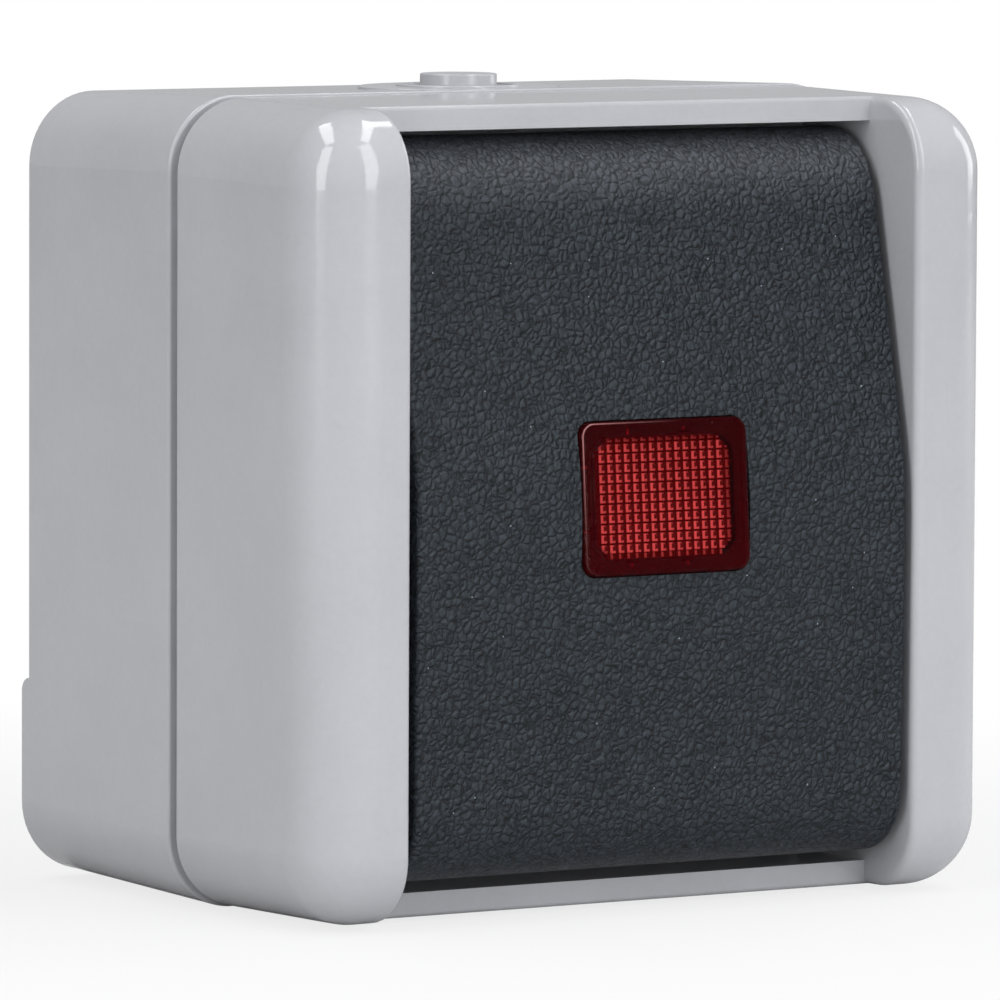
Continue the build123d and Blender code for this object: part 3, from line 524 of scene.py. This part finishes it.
def prism_field(looks):
    """The field of prisms behind the window: its points, its faces and how much light each face throws back.

    Over each cell the height is that of a cut-off pyramid: it rises from the groove lines to a flat middle,
    so it is the least of the four slopes, left, right, bottom and top, and one. A face's glint is high on the
    left and bottom slopes, middling on the left part of the top one, and low elsewhere. It differs a little
    from cell to cell, grows to the lower left, and is dim in the outermost half cells. The corners of the
    field are cut off.
    """
    half_u, half_v = FIELD_HALF_CELLS
    cell_u = prism_lines(half_u, FACET_LINES_U)
    cell_v = prism_lines(half_v, FACET_LINES_V)
    fraction_u = (cell_u - 0.5) % 1.0
    fraction_v = (cell_v - 0.5) % 1.0
    _, groove_u, left, notch, right = FACET_LINES_U
    _, groove_v, bottom, under, top = FACET_LINES_V
    slope_u = np.minimum(fraction_u / left, (1 - fraction_u) / (1 - right))
    slope_v = np.minimum(fraction_v / bottom, (1 - fraction_v) / (1 - under))
    height = np.clip(np.minimum(slope_u[None, :], slope_v[:, None]), 0, 1)
    places_u, places_v = np.meshgrid(cell_u * looks.pitch, cell_v * looks.pitch)
    points = lens_point(places_u, places_v, height * PRISM_RISE - PRISM_DEPTH)

    middle_u = ((cell_u[1:] + cell_u[:-1]) / 2)[None, :]
    middle_v = ((cell_v[1:] + cell_v[:-1]) / 2)[:, None]
    su = (middle_u - 0.5) % 1.0
    sv = (middle_v - 0.5) % 1.0
    high = (sv > groove_v) & (sv < top)
    inner = (su > left) & (su < right) & high
    glint = np.full((middle_v.size, middle_u.size), GLINT["groove"])
    glint = np.where(inner, GLINT["middle"], glint)
    glint = np.where(inner & (su < notch) & (sv > under), GLINT["tick"], glint)
    glint = np.where(inner & (sv < bottom), GLINT["foot"], glint)
    glint = np.where((su > groove_u) & (su < left) & high, GLINT["left bar"], glint)
    glint = np.where((su < groove_u) | (su > right) & high, GLINT["right"], glint)
    which = np.floor(middle_u - 0.5) * 12.9898 + np.floor(middle_v - 0.5) * 78.233
    wobble = (np.sin(which) * 43758.5453) % 1.0
    rise = 1.0 - 0.14 * middle_v / half_v - 0.06 * middle_u / half_u
    glint = glint * rise * (0.78 + 0.28 * wobble)
    outermost = (np.abs(middle_u) > half_u - 0.5) | (np.abs(middle_v) > half_v - 0.5)
    glint = np.where(outermost, glint * 0.4, glint)
    from_corner = (half_u - np.abs(middle_u)) + (half_v - np.abs(middle_v))
    kept = (from_corner > CORNER_CELLS).reshape(-1)
    faces = grid_faces(cell_v.size, cell_u.size)
    return points, faces[kept][:, ::-1], glint.reshape(-1)[kept]


def prism_plastic(looks):
    """Clear red plastic seen by the light that its faces throw back, dark where they throw none."""
    made = Shader("prism red")
    glint = Value(made, made.node("ShaderNodeAttribute", {"attribute_name": "glint"}).outputs["Fac"])
    fine = made.noise(9000.0, 2.0, 0.5)
    level = (glint * (0.85 + fine * 0.3)).least(1.0)
    made.colour(made.blend(level, shade(PRISM_DARK), shade(looks.prism_colour)))
    made.rough(0.35 + fine * 0.1)
    made.constant(Specular_IOR_Level=0.0)
    return made.material


def lens_plastic(looks):
    """Clear red plastic: open over the prism field and darker in the border round it.

    Behind the border, the ledge that rests on the plate is made solid and painted dark, a painted shade that
    stands for the dim pocket seen through the clear plastic, with short ribs that lead to the bright legs. A
    painted highlight, a pale line, runs inside the rounded edge, brightest at the upper left, standing for
    the lamps reflected in the rounding. It follows a
    rounded rectangle: every place on it is equally far from an inner one that is smaller by the corner's
    radius.
    """
    made = Shader("window red")
    u, v, behind = lens_place(made)
    across = made.maths("ABSOLUTE", u)
    up = made.maths("ABSOLUTE", v)
    half_v = FIELD_HALF_CELLS[1] * looks.pitch
    beside = across - FIELD_HALF_CELLS[0] * looks.pitch
    above = up - half_v
    corner = (beside + above) * math.sqrt(0.5) + CORNER_CUT
    outside = beside.most(above).most(corner)
    border = made.ramp(outside, -BORDER_EDGE, BORDER_EDGE)
    cloud = made.noise(500.0, 3.0, 0.5)
    height = made.ramp(v, -half_v * 1.3, half_v * 1.3)
    clear = made.blend(height, shade(looks.colour, 1.6), shade(looks.colour, 0.8))
    clear = made.blend(cloud, clear, shade(looks.colour))
    clear = made.blend(behind.above(LEG_DEPTH), clear, shade(LEG_COLOUR))

    # Painted shade: the ledge behind the border is solid and dark, standing for the dim pocket seen through
    # the clear plastic
    ledge = behind.above(LEDGE_DEPTH) * outside.above(LEDGE_EDGE)
    rib_u = 1 - made.maths("ABSOLUTE", across - RIB_AT[0]).above(RIB_HALF)
    rib_v = 1 - made.maths("ABSOLUTE", up - RIB_AT[1]).above(RIB_HALF)
    rib = (rib_u * above.above(0.0)).most(rib_v * beside.above(0.0))
    rib = rib * (1 - outside.above(RIB_REACH)) * ledge
    seat = made.blend(rib, shade(LEDGE_PAINTED_SHADE), shade(RIB_COLOUR))
    clear = made.blend(ledge, clear, seat)

    # Painted highlight: a pale line inside the rounded edge, brighter towards the upper left, standing for
    # the lamps reflected in the rounding
    round_u = (across - (WINDOW_HALF[0] - WINDOW_CORNER)).most(0.0)
    round_v = (up - (WINDOW_HALF[1] - WINDOW_CORNER)).most(0.0)
    from_line = (round_u ** 2 + round_v ** 2) ** 0.5 - (WINDOW_CORNER - RIM_INSET)
    line = 1 - made.ramp(made.maths("ABSOLUTE", from_line), 0.03 * MM, 0.09 * MM)
    lit = line * made.ramp(v - u * 1.5, 4.0 * MM, 19.0 * MM)
    made.colour(made.blend(lit, clear, shade(PAINTED_RIM_HIGHLIGHT)))
    made.feed(made.surface.inputs["Alpha"], (border * 0.36 + 0.12).most(lit * 0.9).most(ledge))
    made.rough(ledge * 0.6 + cloud * 0.03 + 0.1)
    made.constant(IOR=1.2)
    return made.material


class SWITCH_OT_window(bpy.types.Operator):
    """Finishes the clear red window and builds its field of prisms"""

    bl_idname = "switch.window"
    bl_label = "Window"

    def execute(self, context):
        looks = context.scene.switch_lens
        dress("window_lens", lens_plastic(looks))
        points, faces, glint = prism_field(looks)
        field = mesh_piece("prism_field", points, faces, [prism_plastic(looks)], "push_plate")
        levels = field.data.attributes.new("glint", "FLOAT", "FACE")
        levels.data.foreach_set("value", glint.astype(np.float32))
        return {"FINISHED"}


class SWITCH_OT_seals(bpy.types.Operator):
    """Finishes the soft seals"""

    bl_idname = "switch.seals"
    bl_label = "Seals"

    def execute(self, context):
        dress("box_seal", rubber("seal rubber", (0.44, 0.44, 0.45)))
        dress("splash_membrane", rubber("membrane rubber", (0.17, 0.17, 0.18)))
        dress("wall_seal_washers", rubber("washer rubber", (0.14, 0.14, 0.15)))
        return {"FINISHED"}


class SWITCH_OT_steel(bpy.types.Operator):
    """Finishes the screws, the hinge pins, the bridge plate and the spring"""

    bl_idname = "switch.steel"
    bl_label = "Steel parts"

    def execute(self, context):
        for node in ("hinge_pins", "frame_screws", "carrier_screws", "carrier_plate", "terminal_screws",
                     "earth_terminal_screws"):
            dress(node, plated_steel(node.replace("_", " ")))
        dress("plunger_spring", plated_steel("spring wire", (0.62, 0.62, 0.64)))
        dress("lamp_electrodes", plated_steel("lamp wire", (0.6, 0.6, 0.6)))
        return {"FINISHED"}


class SWITCH_OT_brass(bpy.types.Operator):
    """Finishes the contacts, clamps and rivets"""

    bl_idname = "switch.brass"
    bl_label = "Brass parts"

    def execute(self, context):
        for node in ("insert_rivets", "common_contact", "switched_contact", "lamp_contact_left",
                     "lamp_contact_right", "contact_bridge", "terminal_clamps", "earth_terminal"):
            dress(node, stamped_brass(node.replace("_", " ")))
        return {"FINISHED"}


class SWITCH_OT_insert(bpy.types.Operator):
    """Finishes the mouldings of the insert and its lamp"""

    bl_idname = "switch.insert"
    bl_label = "Insert"

    def execute(self, context):
        dress("insert_base", soft_plastic("base moulding", (0.86, 0.85, 0.80), 0.55))
        dress("insert_cover", soft_plastic("cover moulding", (0.80, 0.80, 0.79)))
        dress("lamp_holder", soft_plastic("holder moulding", (0.88, 0.87, 0.83)))
        dress("plunger", soft_plastic("plunger moulding", (0.82, 0.30, 0.12), 0.42))
        dress("lamp_resistor", soft_plastic("resistor coat", (0.62, 0.48, 0.30), 0.45))
        dress("glow_lamp", lamp_glass("lamp glass"))
        return {"FINISHED"}


class SWITCH_OT_stage(bpy.types.Operator):
    """Sets the camera at the photographed angle, the floor and the soft light"""

    bl_idname = "switch.stage"
    bl_label = "Stage"

    def execute(self, context):
        looks = context.scene.switch_stage
        set_camera(context.scene, looks)
        set_world(context.scene)
        set_floor()
        set_lamps(looks.azimuth)
        context.scene.view_settings.view_transform = "Standard"
        return {"FINISHED"}


def set_camera(scene, looks):
    """Sets the camera to the left and a little above: its back axis has the azimuth and the elevation."""
    a, e, r = looks.azimuth, looks.elevation, looks.roll
    back = np.array([-math.sin(a) * math.cos(e), -math.cos(a) * math.cos(e), math.sin(e)])
    level = np.array([math.cos(a), -math.sin(a), 0.0])
    upright = np.cross(back, level)
    right = math.cos(r) * level + math.sin(r) * upright
    up = -math.sin(r) * level + math.cos(r) * upright
    place = looks.distance * back + VIEW_SHIFT[0] * right + VIEW_SHIFT[1] * up
    data = bpy.data.cameras.new("camera")
    data.sensor_width = SENSOR
    data.lens = FOCAL_PIXELS / FRAME_PIXELS * SENSOR
    data.shift_x = (FRAME_PIXELS / 2 - PRINCIPAL_POINT[0]) / FRAME_PIXELS
    data.shift_y = (PRINCIPAL_POINT[1] - FRAME_PIXELS / 2) / FRAME_PIXELS
    data.clip_start = 0.05
    data.clip_end = 20
    camera = bpy.data.objects.new("camera", data)
    scene.collection.objects.link(camera)
    matrix = np.eye(4)
    matrix[:3, 0] = right
    matrix[:3, 1] = up
    matrix[:3, 2] = back
    matrix[:3, 3] = place - np.array([0.0, WALL_PLANE, 0.0])
    camera.matrix_world = Matrix(matrix.tolist())
    scene.camera = camera


def set_world(scene):
    """Soft light all round that is brighter from the front, the right and below.

    Its strength from a direction is an even share plus a share that grows with how much the direction points
    to the bright side, held between 0 and 1. The camera sees white, and gloss and glass see an even grey.
    """
    world = bpy.data.worlds.new("studio")
    world.use_nodes = True
    tree = world.node_tree
    tree.nodes.clear()
    path = tree.nodes.new("ShaderNodeLightPath")
    grounds = []
    kinds = (((0.95, 0.97, 1.0, 1.0), 1.0), ((0.97, 0.98, 1.0, 1.0), REFLECTED_LEVEL), ((1, 1, 1, 1), 1.0))
    for colour, strength in kinds:
        ground = tree.nodes.new("ShaderNodeBackground")
        ground.inputs["Color"].default_value = colour
        ground.inputs["Strength"].default_value = strength
        grounds.append(ground)
    spot = tree.nodes.new("ShaderNodeTexCoord")
    lean = tree.nodes.new("ShaderNodeVectorMath")
    lean.operation = "DOT_PRODUCT"
    tree.links.new(spot.outputs["Generated"], lean.inputs[0])
    lean.inputs[1].default_value = BRIGHT_SIDE
    level = tree.nodes.new("ShaderNodeMath")
    level.operation = "MULTIPLY_ADD"
    tree.links.new(lean.outputs["Value"], level.inputs[0])
    level.inputs[1].default_value = LEAN_SHARE
    level.inputs[2].default_value = EVEN_SHARE
    level.use_clamp = True
    tree.links.new(level.outputs[0], grounds[0].inputs["Strength"])
    shiny = tree.nodes.new("ShaderNodeMath")
    shiny.operation = "MAXIMUM"
    tree.links.new(path.outputs["Is Glossy Ray"], shiny.inputs[0])
    tree.links.new(path.outputs["Is Transmission Ray"], shiny.inputs[1])
    reflected = tree.nodes.new("ShaderNodeMixShader")
    tree.links.new(shiny.outputs[0], reflected.inputs[0])
    tree.links.new(grounds[0].outputs[0], reflected.inputs[1])
    tree.links.new(grounds[1].outputs[0], reflected.inputs[2])
    seen = tree.nodes.new("ShaderNodeMixShader")
    tree.links.new(path.outputs["Is Camera Ray"], seen.inputs[0])
    tree.links.new(reflected.outputs[0], seen.inputs[1])
    tree.links.new(grounds[2].outputs[0], seen.inputs[2])
    out = tree.nodes.new("ShaderNodeOutputWorld")
    tree.links.new(seen.outputs[0], out.inputs[0])
    scene.world = world


def set_floor():
    """A pale floor under the switch, which keeps a soft shadow near it and is plain white further out."""
    low = CAD_BOUNDS[0][2]
    corners = FLOOR_HALF * np.array([[-1, -1, 0], [1, -1, 0], [1, 1, 0], [-1, 1, 0]]) + [0, 0, low]
    mesh = bpy.data.meshes.new("floor")
    mesh.from_pydata(corners.tolist(), [], [(0, 1, 2, 3)])
    floor = bpy.data.objects.new("floor", mesh)
    bpy.context.scene.collection.objects.link(floor)
    made = Shader("floor white")
    tone = made.noise(3.0, 2.0, 0.5)
    dark, pale = [shade((grey, grey, grey)) for grey in FLOOR_TONES]
    made.colour(made.blend(tone, dark, pale))
    made.constant(Roughness=0.9)
    path = made.node("ShaderNodeLightPath")
    away = made.node("ShaderNodeVectorMath", {"operation": "LENGTH"}, {0: made.place})
    fade = made.ramp(Value(made, away.outputs["Value"]), *SHADOW_REACH)
    seen = Value(made, path.outputs["Is Camera Ray"]) * (fade * SHADOW_SHARE + (1 - SHADOW_SHARE))
    glow = made.node("ShaderNodeEmission", {}, {"Color": (1, 1, 1, 1), "Strength": 1.0})
    mix = made.node("ShaderNodeMixShader")
    made.feed(mix.inputs[0], seen)
    made.tree.links.new(made.surface.outputs[0], mix.inputs[1])
    made.tree.links.new(glow.outputs[0], mix.inputs[2])
    made.tree.links.new(mix.outputs[0], made.tree.nodes["Material Output"].inputs[0])
    floor.data.materials.append(made.material)


def light_panel(name, azimuth, start, end, width, radiance):
    """A soft rectangular lamp that runs from one place to another and shines towards the switch.

    start and end are in metres, along the level line of the camera, towards the camera and up.
    """
    level = np.array([math.cos(azimuth), -math.sin(azimuth), 0.0])
    towards = np.array([-math.sin(azimuth), -math.cos(azimuth), 0.0])
    basis = np.stack([level, towards, np.array([0.0, 0.0, 1.0])])
    first, last = np.array(start) @ basis, np.array(end) @ basis
    place = (first + last) / 2
    length = np.linalg.norm(last - first)
    along = (last - first) / length
    facing = place - (place @ along) * along
    facing = facing / np.linalg.norm(facing)
    data = bpy.data.lights.new(name, "AREA")
    data.shape = "RECTANGLE"
    data.size = width
    data.size_y = float(length)
    data.energy = radiance * math.pi * data.size * data.size_y
    lamp = bpy.data.objects.new(name, data)
    bpy.context.scene.collection.objects.link(lamp)
    matrix = np.eye(4)
    matrix[:3, 0] = np.cross(along, facing)
    matrix[:3, 1] = along
    matrix[:3, 2] = facing
    matrix[:3, 3] = place
    lamp.matrix_world = Matrix(matrix.tolist())
    lamp.visible_camera = False


def set_lamps(azimuth):
    """Two long panels overhead, two tall leaning ones either side of the camera, and one at the right.

    azimuth is the camera's. Each row holds a name, the two ends, the width in metres and the radiance.
    """
    panels = (("overhead left", (-0.395, -0.52, 1.0), (-0.395, 0.36, 1.0), 0.22, 4.7),
              ("overhead right", (0.30, -0.58, 1.0), (0.42, 0.33, 1.0), 0.19, 4.7),
              ("upright left", (-0.56, 0.8, -0.01), (-0.43, 0.48, 1.0), 0.26, 3.8),
              ("upright right", (0.70, 0.8, -0.01), (0.42, 0.44, 1.0), 0.32, 3.2),
              ("side right", (0.845, -0.535, -0.02), (0.845, -0.535, 0.6), 0.3, 2.6))
    for name, start, end, width, radiance in panels:
        light_panel(name, azimuth, start, end, width, radiance)


GROUPS = (CasingLooks, PlateLooks, LensLooks, StageLooks)
OPERATORS = (SWITCH_OT_casing, SWITCH_OT_push_plate, SWITCH_OT_window, SWITCH_OT_seals, SWITCH_OT_steel,
             SWITCH_OT_brass, SWITCH_OT_insert, SWITCH_OT_stage)


class SWITCH_PT_panel(bpy.types.Panel):
    """Lists the operators in the sidebar of the 3D view"""

    bl_label = "Pushbutton switch"
    bl_idname = "SWITCH_PT_panel"
    bl_space_type = "VIEW_3D"
    bl_region_type = "UI"
    bl_category = "Switch"

    def draw(self, context):
        for operator in OPERATORS:
            self.layout.operator(operator.bl_idname)


def register():
    """Registers the classes and hangs the looks on the scene."""
    for group in GROUPS:
        bpy.utils.register_class(group)
    bpy.types.Scene.switch_casing = PointerProperty(type=CasingLooks)
    bpy.types.Scene.switch_plate = PointerProperty(type=PlateLooks)
    bpy.types.Scene.switch_lens = PointerProperty(type=LensLooks)
    bpy.types.Scene.switch_stage = PointerProperty(type=StageLooks)
    for operator in OPERATORS:
        bpy.utils.register_class(operator)
    bpy.utils.register_class(SWITCH_PT_panel)


def unregister():
    """Takes everything out again that register put in."""
    bpy.utils.unregister_class(SWITCH_PT_panel)
    for operator in reversed(OPERATORS):
        bpy.utils.unregister_class(operator)
    del bpy.types.Scene.switch_casing
    del bpy.types.Scene.switch_plate
    del bpy.types.Scene.switch_lens
    del bpy.types.Scene.switch_stage
    for group in reversed(GROUPS):
        bpy.utils.unregister_class(group)


def main():
    """Builds everything, one operator after the other."""
    register()
    for operator in OPERATORS:
        family, action = operator.bl_idname.split(".")
        getattr(getattr(bpy.ops, family), action)()


if __name__ == "__main__":
    main()
